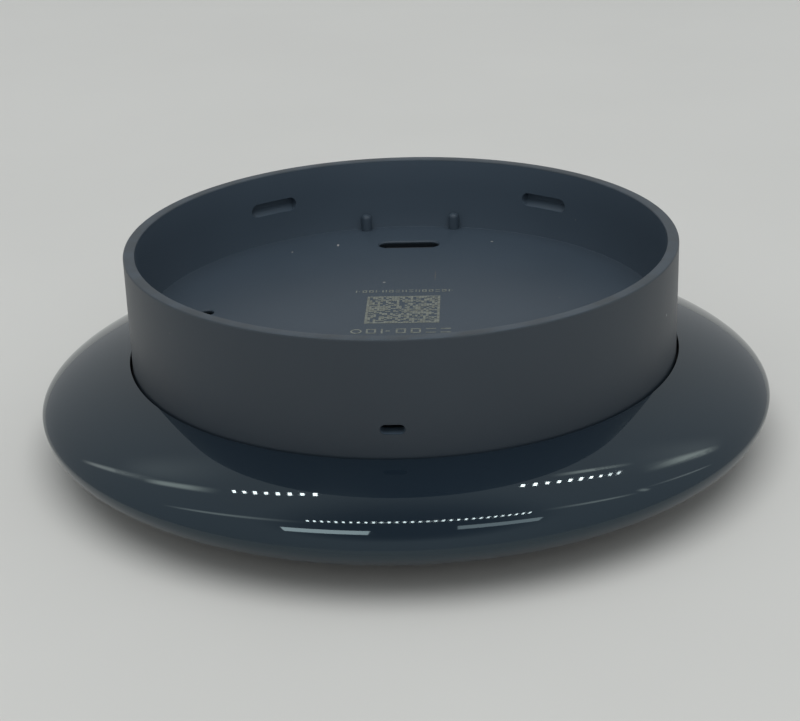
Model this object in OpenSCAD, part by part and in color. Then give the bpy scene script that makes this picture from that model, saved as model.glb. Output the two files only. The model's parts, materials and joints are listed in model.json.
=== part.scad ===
// Round wall controller for a smart home hub: open rear cup, pressable face
// and a control ring that turns. The face lies down and the cup opens upwards.

/* [Overall] */
// Diameter of the control ring at its widest line
ring_d = 97; // [95:0.5:118]
// Height of the whole part, from the face to the cup's rim
total_h = 27.75; // [27:0.25:36]
// Height of the ring's widest line above the face
mid_z = 7.3; // [7.1:0.05:8.8]
// Outside diameter of the rear cup
cup_d = 72.4; // [60:0.2:74]

/* [Face and ring profile] */
// Radial reach of the face side's curve
low_reach = 35.8; // [34:0.1:37]
// Power of the face side's curve
low_power = 2.28; // [2.2:0.02:2.4]
// Radial reach of the rear side's curve
top_reach = 36; // [34:0.1:37]
// Height of the rear side's curve above the widest line
top_rise = 9.22; // [9.1:0.02:9.6]
// Power of the rear side's curve
top_power = 1.54; // [1.52:0.01:1.6]
// Thickness of the ring's metal skin
skin = 1.2; // [0.9:0.05:1.25]
// Distance from the ring's edge in to the seam with the lens
seam_inset = 4.35; // [3.8:0.05:4.6]
// Gap between the lens and the ring
seam_gap = 0.25; // [0.2:0.05:0.3]
// Gap between the cup's side and the ring
cup_gap = 0.35; // [0.3:0.05:0.45]

/* [Rear cup] */
// Thickness of the cup's wall
cup_wall = 1.5; // [1.2:0.1:1.8]
// Depth of the open space above the cup's floor
cup_depth = 10.35; // [9:0.05:11]
// Thickness of the cup's floor
floor_t = 1.8; // [1.6:0.1:2]
// How far the root of the inner wall leans in
root_draft = 0.25; // [0.1:0.05:0.4]
// Height of the leaning root of the inner wall
root_h = 2.5; // [2:0.1:3]
// Rounding of the cup's rim
rim_round = 0.25; // [0.1:0.05:0.4]
// Width of the fill at the corner of the floor
floor_fill = 0.4; // [0.2:0.05:0.6]

/* [Cup details] */
// Width of a catch pocket in the inner wall
pocket_w = 7.3; // [5:0.1:9]
// Height of a catch pocket
pocket_h = 2.1; // [1.6:0.1:2.6]
// Depth of a catch pocket
pocket_depth = 0.7; // [0.4:0.05:0.9]
// Height of the pockets' middle below the rim
pocket_drop = 5.05; // [4:0.05:6]
// Angle from the twelve o'clock line to a pocket
pocket_angle = 34.8; // [25:0.1:45]
// Diameter of a guide rib on the inner wall
rib_d = 1.5; // [1.2:0.1:2]
// Height of a guide rib
rib_h = 2.45; // [2:0.05:3]
// Angle from the twelve o'clock line to a guide rib
rib_angle = 11.1; // [9:0.1:20]
// Width of the port slot in the floor
port_w = 8.8; // [8.4:0.1:9.2]
// Height of the port slot in the floor
port_h = 2.9; // [2.6:0.1:3.2]
// Distance from the cup's inner wall in to the port and screws
port_inset = 8.4; // [7.6:0.1:9.4]
// Diameter of a screw well in the floor
well_d = 1.9; // [1.8:0.1:2.4]
// Width of the vent slot in the cup's side
vent_w = 2.83; // [2:0.01:3.4]
// Height of the vent slot in the cup's side
vent_h = 1.07; // [0.8:0.01:1.1]

/* [Motion] */
// How far the face can be pressed towards the cup
press = 0.5; // [0.3:0.05:0.55]
// Running clearance of the ring on its glide bearing
run_gap = 0.05; // [0.03:0.01:0.09]
// Distance from the ring's edge in to its bearing race
race_inset = 5.5; // [5:0.05:5.9]
// Thickness of the glide bearing, with its running clearance
bearing_t = 2; // [1.6:0.1:2.2]

/* [Hidden] */
$fn = 128;
over = 1;

// main radii
ring_r = ring_d / 2;
cup_r = cup_d / 2;
cup_in_r = cup_r - cup_wall;
ring_hole_r = cup_r + cup_gap;
port_r = cup_in_r - port_inset;
low_flat_r = ring_r - low_reach;
top_flat_r = ring_r - top_reach;
seam_r = ring_r - seam_inset;
lens_r = seam_r - seam_gap;

// levels of the cup
floor_top_z = total_h - cup_depth;
floor_low_z = floor_top_z - floor_t;
skirt_z = mid_z + 0.7;
bead_h = 0.8;
bead_r = cup_r + 2.2;

// levels of the face
lens_in_z = 2;
flange_z = 4.2;
glue_t = 0.15;
flange_t = 1.1;
frame_top_z = flange_z + flange_t;
frame_wall_top_z = skirt_z + bead_h + 0.1;
race_r = ring_r - race_inset;
frame_wall_r = race_r - bearing_t;
frame_wall_in_r = frame_wall_r - 2;
frame_wall_mid_r = (frame_wall_r + frame_wall_in_r) / 2;
lens_step_r = lens_r - 3.9;
lens_flat_r = lens_step_r - 3.5;
mask_r = lens_flat_r - 0.2;
display_r = mask_r - 3.5;
display_t = 1.4;
mask_t = 0.2;
flex_end_h = 0.8;
sensor_r = mask_r - 1.6;
front_board_z = 5.9;
front_board_t = 0.8;
front_board_top_z = front_board_z + front_board_t;
front_board_r = cup_in_r - 4.7;
pad_r = front_board_r - 10;
flex_y = port_r - 6.3;
sensor_y = -cup_in_r + 3.2;
vent_z = floor_top_z - 0.85;
vent_duct_y = -cup_in_r + 2.4;

// levels of the inner chassis and main board
chassis_z = front_board_top_z + 1.9;
chassis_t = 1;
chassis_top_z = chassis_z + chassis_t;
chassis_r = cup_in_r - 0.3;
boss_h = 1.6;
boss_r = 3.2;
boss_low_z = floor_low_z - boss_h;
board_t = 1;
board_top_z = floor_low_z - 2.4;
board_z = board_top_z - board_t;
board_r = cup_in_r - 1.1;
well_floor_z = floor_low_z - 0.7;
screw_head_h = 0.8;
screw_r = 0.5;
pilot_r = 0.52;
clear_r = 0.65;

// bearing and ring core
bearing_h = 2.2;
retainer_t = 0.6;
retainer_in_r = cup_r + 0.4;
retainer_screw_r = 0.48;
retainer_hole_r = 0.5;
shoulder_r = frame_wall_r + 0.5;
shoulder_z = frame_top_z + bearing_h + 0.3;
strip_t = 0.15;
core_low_t = 12;
core_top_t = 20;
steps = 20;

// a point on the face side's curve, t = 0 at the widest line
function low_point(t) = [
  low_flat_r + low_reach * pow(cos(t), 2 / low_power),
  mid_z - mid_z * pow(sin(t), 2 / low_power)
];

// a point on the rear side's curve, t = 0 at the widest line
function top_point(t) = [
  top_flat_r + top_reach * pow(cos(t), 2 / top_power),
  mid_z + top_rise * pow(sin(t), 2 / top_power)
];

// the curve's angle at which it reaches radius r
function low_angle(r) = acos(pow((r - low_flat_r) / low_reach, low_power / 2));
function top_angle(r) = acos(pow((r - top_flat_r) / top_reach, top_power / 2));

// one signed angle runs over both sides, below 0 on the face side
function outline(s) = s < 0 ? low_point(-s) : top_point(s);
function side_step(s) = outline(s + 0.5) - outline(s - 0.5);
function unit(v) = v / norm(v);
function inward(s) = [-unit(side_step(s))[1], unit(side_step(s))[0]];
function inner_line(s) = outline(s) + skin * inward(s);

// keep a point of the inner line clear of the seam and the cup
function kept(p, s) = [max(p[0], s < 0 ? seam_r : ring_hole_r), p[1]];

s_low = -low_angle(seam_r);
s_top = top_angle(ring_hole_r);

// the curve's angle at which the skin's inner side reaches height z
function inner_angle(z, lo, hi, n) =
  n == 0 ? lo
  : inner_line((lo + hi) / 2)[1] < z ? inner_angle(z, (lo + hi) / 2, hi, n - 1)
  : inner_angle(z, lo, (lo + hi) / 2, n - 1);

// the retainer covers this share of the way from the shoulder to the skin
retainer_cover = 0.59;
retainer_top_z = frame_wall_top_z + retainer_t;
skin_in_r = inner_line(inner_angle(retainer_top_z, 0, s_top, 20))[0];
retainer_r = shoulder_r + retainer_cover * (skin_in_r - shoulder_r);
function at(k, a, b, count) = a + (b - a) * k / count;

// stadium of total width w and height h
module stadium(w, h) {
  hull_w = (w - h) / 2;
  union() {
    translate([-hull_w, -h / 2])
      square([2 * hull_w, h]);
    translate([-hull_w, 0])
      circle(d = h);
    translate([hull_w, 0])
      circle(d = h);
  }
}

// flat ring between two radii
module annulus(r_out, r_in, z, h) {
  translate([0, 0, z])
    difference() {
      cylinder(r = r_out, h = h);
      translate([0, 0, -over])
        cylinder(r = r_in, h = h + 2 * over);
    }
}

// block centred on x and y, standing on z
module block(x, y, z, w, d, h) {
  translate([x - w / 2, y - d / 2, z])
    cube([w, d, h]);
}

// three screw places at three, six and nine o'clock
module at_screws() {
  for (a = [0, -90, 180])
    rotate([0, 0, a])
      translate([port_r, 0, 0])
        children();
}

// ---- pieces fixed to the rear cup ----

// wall, floor, skirt and bead in one turned outline
module cup_body() {
  rotate_extrude()
    polygon([
      [0, floor_low_z],
      [cup_in_r, floor_low_z],
      [cup_in_r, skirt_z],
      [bead_r, skirt_z],
      [bead_r, skirt_z + bead_h],
      [cup_r, skirt_z + bead_h],
      [cup_r, total_h - rim_round],
      [cup_r - rim_round, total_h],
      [cup_in_r + rim_round, total_h],
      [cup_in_r, total_h - rim_round],
      [cup_in_r, floor_top_z + root_h],
      [cup_in_r - root_draft, floor_top_z + floor_fill],
      [cup_in_r - root_draft - floor_fill, floor_top_z],
      [0, floor_top_z]
    ]);
}

// a catch pocket is a shallow slot with round ends, cut into the inner wall
module pocket_cut() {
  pocket_z = total_h - pocket_drop;
  intersection() {
    translate([0, cup_in_r + pocket_depth, pocket_z])
      rotate([90, 0, 0])
        linear_extrude(height = 4)
          stadium(pocket_w, pocket_h);
    translate([0, 0, pocket_z - pocket_h])
      cylinder(r = cup_in_r + pocket_depth, h = 2 * pocket_h);
  }
}

// side vent, with a channel in the floor that turns down into the housing
module vent_cut() {
  union() {
    translate([0, vent_duct_y + 1, vent_z])
      rotate([90, 0, 0])
        linear_extrude(height = vent_duct_y + 1 + cup_r + over)
          stadium(vent_w, vent_h);
    block(0, vent_duct_y, floor_low_z - over, vent_w - vent_h, 2, over + vent_z - floor_low_z);
  }
}

module guide_rib() {
  translate([0, cup_in_r - 0.9, floor_top_z - 0.2])
    union() {
      cylinder(d = rib_d, h = rib_h + 0.2 - rib_d / 2);
      translate([0, 0, rib_h + 0.2 - rib_d / 2])
        sphere(d = rib_d);
      translate([-rib_d / 2, 0, 0])
        cube([rib_d, 1.1, rib_h + 0.2 - rib_d / 2]);
    }
}

module rear_cup() {
  color([0.19, 0.22, 0.25])
    difference() {
      union() {
        cup_body();
        for (a = [-rib_angle, rib_angle])
          rotate([0, 0, a])
            guide_rib();
        at_screws()
          translate([0, 0, boss_low_z])
            cylinder(r = boss_r, h = boss_h + 0.5);
      }
      for (a = [-pocket_angle, pocket_angle, 180 - pocket_angle, 180 + pocket_angle])
        rotate([0, 0, a])
          pocket_cut();
      translate([0, port_r, floor_low_z - over])
        linear_extrude(height = floor_t + 2 * over)
          stadium(port_w, port_h);
      at_screws()
        union() {
          translate([0, 0, well_floor_z])
            cylinder(d = well_d, h = total_h);
          translate([0, 0, boss_low_z - over])
            cylinder(r = clear_r, h = total_h);
        }
      vent_cut();
    }
}

module chassis() {
  color([0.62, 0.63, 0.64])
    difference() {
      union() {
        translate([0, 0, chassis_z])
          cylinder(r = chassis_r, h = chassis_t);
        at_screws()
          translate([0, 0, chassis_z])
            cylinder(r = boss_r, h = boss_low_z - chassis_z);
      }
      at_screws()
        translate([0, 0, chassis_top_z])
          cylinder(r = pilot_r, h = total_h);
      block(0, flex_y, chassis_z - over, 11, 3, chassis_t + 2 * over);
      for (a = [45, 135])
        rotate([0, 0, a])
          for (s = [-1, 1])
            translate([s * port_r, 0, chassis_z - over])
              cylinder(r = 4, h = chassis_t + 2 * over);
    }
}

module main_board() {
  color([0.08, 0.28, 0.17])
    translate([0, 0, board_z])
      difference() {
        cylinder(r = board_r, h = board_t);
        at_screws()
          translate([0, 0, -over])
            cylinder(r = boss_r + 0.4, h = board_t + 2 * over);
      }
}

module shield_can() {
  color([0.75, 0.76, 0.77])
    difference() {
      block(-7, -4, board_top_z, 19, 15, 1.8);
      block(-7, -4, board_top_z - over, 18.4, 14.4, over + 1.5);
    }
}

module radio_module() {
  color([0.7, 0.71, 0.73])
    union() {
      block(13, 8, board_top_z, 12, 9, 0.6);
      block(13, 7, board_top_z + 0.6, 10.4, 6, 1);
    }
}

module power_chip() {
  color([0.1, 0.1, 0.11])
    union() {
      block(-9, 15, board_top_z, 5, 5, 0.9);
      block(-3, 14, board_top_z, 3, 3, 0.8);
    }
}

module port_shell() {
  color([0.8, 0.8, 0.82])
    translate([0, port_r, board_top_z])
      difference() {
        linear_extrude(height = floor_low_z - board_top_z)
          stadium(port_w + 0.6, port_h + 0.6);
        translate([0, 0, 0.5])
          linear_extrude(height = 4)
            stadium(port_w, port_h);
      }
}

module port_tongue() {
  color([0.13, 0.13, 0.14])
    block(0, port_r, board_top_z + 0.5, 6.7, 0.7, 3.1);
}

module battery() {
  color([0.72, 0.73, 0.75])
    block(0, -1, chassis_top_z, 32, 22, 2.1);
}

module rear_screws() {
  color([0.35, 0.36, 0.38])
    at_screws()
      difference() {
        union() {
          translate([0, 0, well_floor_z])
            cylinder(d = well_d - 0.2, h = screw_head_h);
          translate([0, 0, chassis_top_z + 0.3])
            cylinder(r = screw_r, h = well_floor_z - chassis_top_z);
        }
        translate([0, 0, well_floor_z + 0.3])
          cylinder(r = 0.45, h = over);
      }
}

module vent_membrane() {
  color([0.85, 0.86, 0.86])
    block(0, vent_duct_y, floor_low_z - 0.2, 4, 3.4, 0.2);
}

module climate_sensor() {
  color([0.12, 0.12, 0.13])
    difference() {
      block(0, sensor_y, board_top_z, 2.6, 2.6, 0.9);
      translate([0, sensor_y, board_top_z + 0.4])
        cylinder(r = 0.5, h = over);
    }
}

module sounder() {
  color([0.2, 0.2, 0.21])
    translate([12, -9, board_top_z])
      difference() {
        cylinder(r = 6, h = 2);
        translate([0, 0, 1])
          cylinder(r = 1.2, h = 2);
      }
}

module gap_felt() {
  color([0.1, 0.1, 0.1])
    annulus(cup_r + 1.1, cup_r, retainer_top_z + press + 0.3, 0.7);
}

module flex_socket() {
  color([0.85, 0.83, 0.78])
    block(0, flex_y, board_z - flex_end_h, 9, 2.4, flex_end_h);
}

module switch_plunger() {
  color([0.85, 0.85, 0.84])
    translate([0, 0, chassis_z - 0.9])
      union() {
        cylinder(r = 1.6, h = 0.5);
        translate([0, 0, 0.5])
          cylinder(r = 4, h = 0.4);
      }
}

// soft pads that return the face, fixed under the chassis
module return_pads() {
  color([0.3, 0.31, 0.32])
    for (a = [30, 150, 270])
      rotate([0, 0, a])
        translate([pad_r, 0, front_board_top_z])
          union() {
            cylinder(r1 = 2.2, r2 = 3, h = 1.3);
            translate([0, 0, 1.3])
              cylinder(r = 4, h = 0.6);
          }
}

// flat cable with a fold, from the front board up to the main board
module flex_cable() {
  flex_low_z = front_board_top_z + flex_end_h;
  flex_top_z = board_z - flex_end_h;
  color([0.75, 0.45, 0.12])
    union() {
      block(0, flex_y, flex_low_z, 7, 0.2, flex_top_z - flex_low_z);
      block(0, flex_y + 0.5, flex_low_z + 2.6, 7, 1.2, 0.2);
      block(0, flex_y + 1, flex_low_z + 2.6, 7, 0.2, 0.9);
    }
}

// ---- pieces fixed to the pressable face ----

module front_lens() {
  s_end = low_angle(lens_r);
  color([0.03, 0.03, 0.04])
    rotate_extrude()
      polygon(concat(
        [[0, 0]],
        [for (k = [0 : steps]) low_point(at(k, 90, s_end, steps))],
        [
          [lens_r, flange_z - glue_t],
          [lens_step_r, flange_z - glue_t],
          [lens_flat_r, lens_in_z],
          [0, lens_in_z]
        ]
      ));
}

module lens_adhesive() {
  color([0.2, 0.2, 0.2])
    annulus(lens_r - 0.4, lens_step_r + 0.4, flange_z - glue_t, glue_t);
}

module mask_ring() {
  color([0.02, 0.02, 0.02])
    difference() {
      annulus(mask_r, display_r + 0.2, lens_in_z, mask_t);
      block(0, -sensor_r, lens_in_z - over, 3, 1.6, 2 * over);
      rotate([0, 0, -45])
        translate([sensor_r, 0, lens_in_z - over])
          cylinder(r = 0.8, h = 2 * over);
    }
}

module display_panel() {
  color([0.05, 0.05, 0.07])
    translate([0, 0, lens_in_z])
      cylinder(r = display_r, h = display_t);
}

module display_backplate() {
  color([0.6, 0.61, 0.62])
    translate([0, 0, lens_in_z + display_t])
      cylinder(r = display_r - 0.4, h = flange_z - lens_in_z - display_t);
}

module face_frame() {
  color([0.15, 0.15, 0.16])
    difference() {
      union() {
        translate([0, 0, flange_z])
          cylinder(r = lens_r - 0.05, h = flange_t);
        annulus(frame_wall_r, frame_wall_in_r, flange_z, frame_wall_top_z - flange_z);
        for (a = [45, 135, 225, 315])
          rotate([0, 0, a])
            translate([front_board_r - 4, 0, flange_z])
              cylinder(r = 2, h = front_board_z - flange_z);
      }
      for (a = [0, 120, 240])
        rotate([0, 0, a])
          translate([frame_wall_mid_r, 0, frame_wall_top_z - 2])
            cylinder(r = retainer_hole_r, h = 4);
      rotate([0, 0, 60])
        translate([frame_wall_in_r - over, -2.6, shoulder_z - 0.3])
          cube([2 + 2 * over, 5.2, 1.5]);
    }
}

module front_board() {
  color([0.08, 0.28, 0.17])
    translate([0, 0, front_board_z])
      cylinder(r = front_board_r, h = front_board_t);
}

module touch_chip() {
  color([0.1, 0.1, 0.11])
    union() {
      block(-13, -4, front_board_top_z, 7, 7, 0.9);
      block(12, 2, front_board_top_z, 4, 4, 0.8);
    }
}

module flex_plug() {
  color([0.85, 0.83, 0.78])
    block(0, flex_y, front_board_top_z, 9, 2.2, flex_end_h);
}

module dome_switch() {
  color([0.8, 0.8, 0.78])
    translate([0, 0, front_board_top_z])
      union() {
        cylinder(r = 3.4, h = 0.2);
        cylinder(r1 = 2.8, r2 = 1.4, h = 0.4);
      }
}

module presence_sensor() {
  color([0.12, 0.1, 0.12])
    block(0, -sensor_r, lens_in_z + mask_t, 4.4, 2.4, flange_z - lens_in_z - mask_t);
}

module light_sensor() {
  color([0.2, 0.2, 0.2])
    rotate([0, 0, -45])
      translate([sensor_r, 0, lens_in_z + mask_t])
        cylinder(r = 1.1, h = flange_z - lens_in_z - mask_t);
}

module glide_bearing() {
  color([0.88, 0.88, 0.85])
    annulus(race_r - run_gap, frame_wall_r, frame_top_z, bearing_h);
}

module ring_retainer() {
  color([0.65, 0.66, 0.67])
    difference() {
      annulus(retainer_r, retainer_in_r, frame_wall_top_z, retainer_t);
      for (a = [0, 120, 240])
        rotate([0, 0, a])
          translate([frame_wall_mid_r, 0, 0])
            cylinder(r = retainer_hole_r, h = total_h);
    }
}

module retainer_screws() {
  color([0.35, 0.36, 0.38])
    for (a = [0, 120, 240])
      rotate([0, 0, a])
        translate([frame_wall_mid_r, 0, frame_wall_top_z])
          union() {
            translate([0, 0, -1.8])
              cylinder(r = retainer_screw_r, h = 1.8 + retainer_t);
            translate([0, 0, retainer_t])
              cylinder(r = 1, h = 0.3);
          }
}

module ring_reader() {
  color([0.12, 0.12, 0.13])
    rotate([0, 0, 60])
      translate([frame_wall_in_r + 0.1, -2.2, shoulder_z - 0.2])
        cube([1.6, 4.4, 1.2]);
}

// ---- pieces that turn with the ring ----

// polished skin of the ring, thinned from one outline
module control_ring() {
  color([0.1, 0.1, 0.11])
    rotate_extrude()
      polygon(concat(
        [for (k = [0 : steps]) outline(at(k, s_low, 0, steps))],
        [for (k = [1 : steps]) outline(at(k, 0, s_top, steps))],
        [
          for (k = [0 : 2 * steps])
            kept(
              inner_line(at(k, s_top - 0.6, s_low + 0.6, 2 * steps)),
              at(k, s_top, s_low, 2 * steps)
            )
        ]
      ));
}

// moulded carrier inside the skin, with the bearing race and a shoulder
module ring_core() {
  low_end = inner_line(-core_low_t);
  top_end = inner_line(core_top_t);
  color([0.8, 0.8, 0.78])
    rotate_extrude()
      polygon(concat(
        [[race_r, low_end[1]]],
        [for (k = [0 : 8]) inner_line(at(k, -core_low_t, core_top_t, 8)) - [0.05, 0]],
        [
          [shoulder_r, top_end[1]],
          [shoulder_r, shoulder_z],
          [race_r, shoulder_z]
        ]
      ));
}

module code_strip() {
  color([0.9, 0.9, 0.9])
    annulus(shoulder_r, shoulder_r - strip_t, shoulder_z + 0.1, 0.5);
}

rear_cup();
chassis();
main_board();
shield_can();
radio_module();
power_chip();
port_shell();
port_tongue();
battery();
rear_screws();
vent_membrane();
climate_sensor();
sounder();
gap_felt();
flex_socket();
switch_plunger();
return_pads();
flex_cable();
front_lens();
lens_adhesive();
mask_ring();
display_panel();
display_backplate();
face_frame();
front_board();
touch_chip();
flex_plug();
dome_switch();
presence_sensor();
light_sensor();
glide_bearing();
ring_retainer();
retainer_screws();
ring_reader();
control_ring();
ring_core();
code_strip();
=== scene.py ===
"""Round wall controller of a smart home hub: its finished pieces, materials and studio."""

import json
import math
import random

import bpy
from mathutils import Matrix, Vector


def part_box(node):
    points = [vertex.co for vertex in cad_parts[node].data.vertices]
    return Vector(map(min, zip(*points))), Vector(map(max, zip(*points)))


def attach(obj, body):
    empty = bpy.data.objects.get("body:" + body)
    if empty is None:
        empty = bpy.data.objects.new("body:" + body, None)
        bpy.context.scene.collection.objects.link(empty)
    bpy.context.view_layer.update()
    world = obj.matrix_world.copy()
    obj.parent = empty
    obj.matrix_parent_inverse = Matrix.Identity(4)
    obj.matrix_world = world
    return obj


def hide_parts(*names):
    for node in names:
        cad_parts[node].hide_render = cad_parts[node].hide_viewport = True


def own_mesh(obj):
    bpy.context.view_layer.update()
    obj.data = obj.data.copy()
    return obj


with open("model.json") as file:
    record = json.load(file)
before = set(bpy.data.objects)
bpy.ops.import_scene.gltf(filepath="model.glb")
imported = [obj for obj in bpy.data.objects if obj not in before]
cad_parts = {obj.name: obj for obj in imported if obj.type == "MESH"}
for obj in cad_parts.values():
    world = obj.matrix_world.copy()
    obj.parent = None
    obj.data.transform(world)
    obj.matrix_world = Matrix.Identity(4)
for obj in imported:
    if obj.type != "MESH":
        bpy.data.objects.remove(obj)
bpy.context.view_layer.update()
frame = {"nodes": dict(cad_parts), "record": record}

bl_info = {
    "name": "Wall Controller Studio",
    "version": (1, 0, 0),
    "blender": (4, 5, 0),
    "location": "View3D > Sidebar > Controller",
    "description": "Builds the finished pieces of a round wall controller around its frame",
    "category": "Add Mesh",
}

MM = 0.001
MERGE = 1e-6
CUT = 1e-7
RING_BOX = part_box("control_ring")
CUP_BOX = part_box("rear_cup")
LENS_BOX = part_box("front_lens")


# ---- settings


class RingSettings(bpy.types.PropertyGroup):
    radius: bpy.props.FloatProperty(
        name="Ring radius", description="Radius of the ring at its widest line",
        default=RING_BOX[1].x, unit="LENGTH",
    )
    widest_z: bpy.props.FloatProperty(
        name="Widest height", description="Height of the ring's widest line",
        default=7.3 * MM, unit="LENGTH",
    )
    hole_radius: bpy.props.FloatProperty(
        name="Hole radius", description="Radius of the hole that the cup stands in",
        default=36.55 * MM, unit="LENGTH",
    )
    seam_radius: bpy.props.FloatProperty(
        name="Seam radius", description="Radius of the seam with the lens",
        default=44.15 * MM, unit="LENGTH",
    )
    low_reach: bpy.props.FloatProperty(
        name="Face curve reach", description="Radial reach of the face side's curve",
        default=35.8 * MM, unit="LENGTH",
    )
    top_reach: bpy.props.FloatProperty(
        name="Rear curve reach", description="Radial reach of the rear side's curve",
        default=36.0 * MM, unit="LENGTH",
    )
    top_rise: bpy.props.FloatProperty(
        name="Rear curve rise", description="Rise of the rear side's curve",
        default=9.22 * MM, unit="LENGTH",
    )
    low_power: bpy.props.FloatProperty(
        name="Face curve power", description="Power of the face side's curve", default=2.28
    )
    top_power: bpy.props.FloatProperty(
        name="Rear curve power", description="Power of the rear side's curve", default=1.54
    )
    skin: bpy.props.FloatProperty(
        name="Skin", description="Thickness of the ring's skin", default=1.2 * MM, unit="LENGTH"
    )
    colour: bpy.props.FloatVectorProperty(
        name="Colour", description="Body colour under the gloss",
        default=(0.010, 0.0175, 0.027), subtype="COLOR",
    )


class CupSettings(bpy.types.PropertyGroup):
    radius: bpy.props.FloatProperty(
        name="Cup radius", description="Outside radius of the rear cup", default=36.2 * MM, unit="LENGTH"
    )
    wall: bpy.props.FloatProperty(
        name="Wall", description="Thickness of the cup's wall", default=1.5 * MM, unit="LENGTH"
    )
    rim_z: bpy.props.FloatProperty(
        name="Rim height", description="Height of the cup's rim", default=CUP_BOX[1].z, unit="LENGTH"
    )
    floor_z: bpy.props.FloatProperty(
        name="Floor height", description="Height of the cup's floor", default=17.4 * MM, unit="LENGTH"
    )
    colour: bpy.props.FloatVectorProperty(
        name="Colour", description="Colour of the matte plastic",
        default=(0.0240, 0.0345, 0.0465), subtype="COLOR",
    )
    grain: bpy.props.FloatProperty(name="Grain", description="Depth of the moulded grain", default=0.35)


class LensSettings(bpy.types.PropertyGroup):
    radius: bpy.props.FloatProperty(
        name="Lens radius", description="Radius of the face's lens", default=43.9 * MM, unit="LENGTH"
    )


class PrintSettings(bpy.types.PropertyGroup):
    side: bpy.props.FloatProperty(
        name="Square side", description="Side of the square of printed cells",
        default=9.9 * MM, unit="LENGTH",
    )
    cells: bpy.props.IntProperty(name="Cells", description="Cells along one side of the square", default=27)
    ink: bpy.props.FloatProperty(
        name="Ink", description="Thickness of the ink", default=0.015 * MM, unit="LENGTH"
    )
    far_row: bpy.props.FloatVectorProperty(
        name="Far row", description="Place along Y, width and height of the far marks", size=3,
        default=(6.9 * MM, 13.6 * MM, 0.85 * MM), unit="LENGTH",
    )
    near_row: bpy.props.FloatVectorProperty(
        name="Near row", description="Place along Y, width and height of the near marks", size=3,
        default=(-7.7 * MM, 13.6 * MM, 1.5 * MM), unit="LENGTH",
    )
    colour: bpy.props.FloatVectorProperty(
        name="Ink colour", description="Colour of the printed marks",
        default=(0.170, 0.185, 0.165), subtype="COLOR",
    )


class StudioSettings(bpy.types.PropertyGroup):
    table: bpy.props.FloatVectorProperty(
        name="Table colour", description="Colour of the plain table",
        default=(0.668, 0.670, 0.648), subtype="COLOR",
    )
    room: bpy.props.FloatProperty(name="Room", description="Brightness of the room's walls", default=0.43)
    zenith: bpy.props.FloatProperty(name="Zenith", description="Brightness straight overhead", default=0.08)
    soft_power: bpy.props.FloatProperty(
        name="Soft light", description="Power of a soft light", default=5.0, unit="POWER"
    )
    ceiling: bpy.props.FloatProperty(
        name="Ceiling height", description="Height of the lamps that the gloss mirrors",
        default=2.4, unit="LENGTH",
    )
    lamp_shift: bpy.props.FloatProperty(
        name="Lamp shift", description="Place along Y that the lamps' slopes start from",
        default=-0.042, unit="LENGTH",
    )
    eye: bpy.props.FloatVectorProperty(
        name="Camera place", description="Where the camera stands",
        default=(0.01046, -0.23043, 0.10683), subtype="TRANSLATION",
    )
    aim: bpy.props.FloatVectorProperty(
        name="Camera aim", description="Direction the camera looks in",
        default=(-0.04425, 0.92102, -0.38699), subtype="DIRECTION",
    )
    roll: bpy.props.FloatProperty(
        name="Camera roll", description="Roll of the camera", default=math.radians(-1.92), subtype="ANGLE"
    )
    lens: bpy.props.FloatProperty(
        name="Camera lens", description="Focal length in mm on a 36 mm sensor", default=83.45
    )


# ---- outlines


def curves(s):
    """The reach, rise and power of the ring's face side and rear side curves, from the widest line."""
    return (s.low_reach, -s.widest_z, s.low_power), (s.top_reach, s.top_rise, s.top_power)


def curve_point(s, curve, t):
    """A point of one of the ring's curves, t in degrees from the widest line."""
    reach, rise, power = curve
    a, p = math.radians(t), 2 / power
    return s.radius - reach + reach * math.cos(a) ** p, s.widest_z + rise * math.sin(a) ** p


def curve_angle(s, curve, r):
    """The angle in degrees at which a curve comes in to a radius."""
    reach, _, power = curve
    return math.degrees(math.acos(((r - s.radius + reach) / reach) ** (power / 2)))


def moved_in(points, by):
    """The line of points moved to its left by a distance, for the inside of a skin."""
    out = []
    for i, (r, z) in enumerate(points):
        a, b = points[max(i - 1, 0)], points[min(i + 1, len(points) - 1)]
        dr, dz = b[0] - a[0], b[1] - a[1]
        n = math.hypot(dr, dz)
        out.append((r - dz / n * by, z + dr / n * by))
    return out


def corner(cx, cz, radius, start, end, steps=5):
    """Points of a rounded corner, angles in degrees."""
    out = []
    for i in range(steps + 1):
        a = math.radians(start + (end - start) * i / steps)
        out.append((cx + radius * math.cos(a), cz + radius * math.sin(a)))
    return out


# ---- modelling


def nothing_selected():
    """Leaves edit mode and deselects everything."""
    if bpy.context.object is not None and bpy.context.object.mode != "OBJECT":
        bpy.ops.object.mode_set(mode="OBJECT")
    bpy.ops.object.select_all(action="DESELECT")


def opened(kind):
    """Goes to edit mode with all of the active piece selected."""
    bpy.ops.object.mode_set(mode="EDIT")
    bpy.ops.mesh.select_mode(type=kind)
    bpy.ops.mesh.select_all(action="SELECT")


def closed_up():
    """Points all faces outwards and leaves edit mode."""
    bpy.ops.mesh.select_all(action="SELECT")
    bpy.ops.mesh.normals_make_consistent(inside=False)
    bpy.ops.object.mode_set(mode="OBJECT")


def drawn_out(x, y, z):
    """Extrudes the selected faces or edges."""
    bpy.ops.mesh.extrude_region_move(TRANSFORM_OT_translate={"value": (x, y, z)})


def only(piece):
    """Selects one piece and makes it active."""
    nothing_selected()
    piece.select_set(True)
    bpy.context.view_layer.objects.active = piece


def started(name):
    """Names the active piece, such as the primitive that was just added."""
    piece = bpy.context.object
    piece.name = name
    piece.data.name = name
    return piece


def applied(piece):
    """Puts the place of a piece in its mesh."""
    only(piece)
    bpy.ops.object.transform_apply(location=True, rotation=True, scale=True)
    return piece


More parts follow.
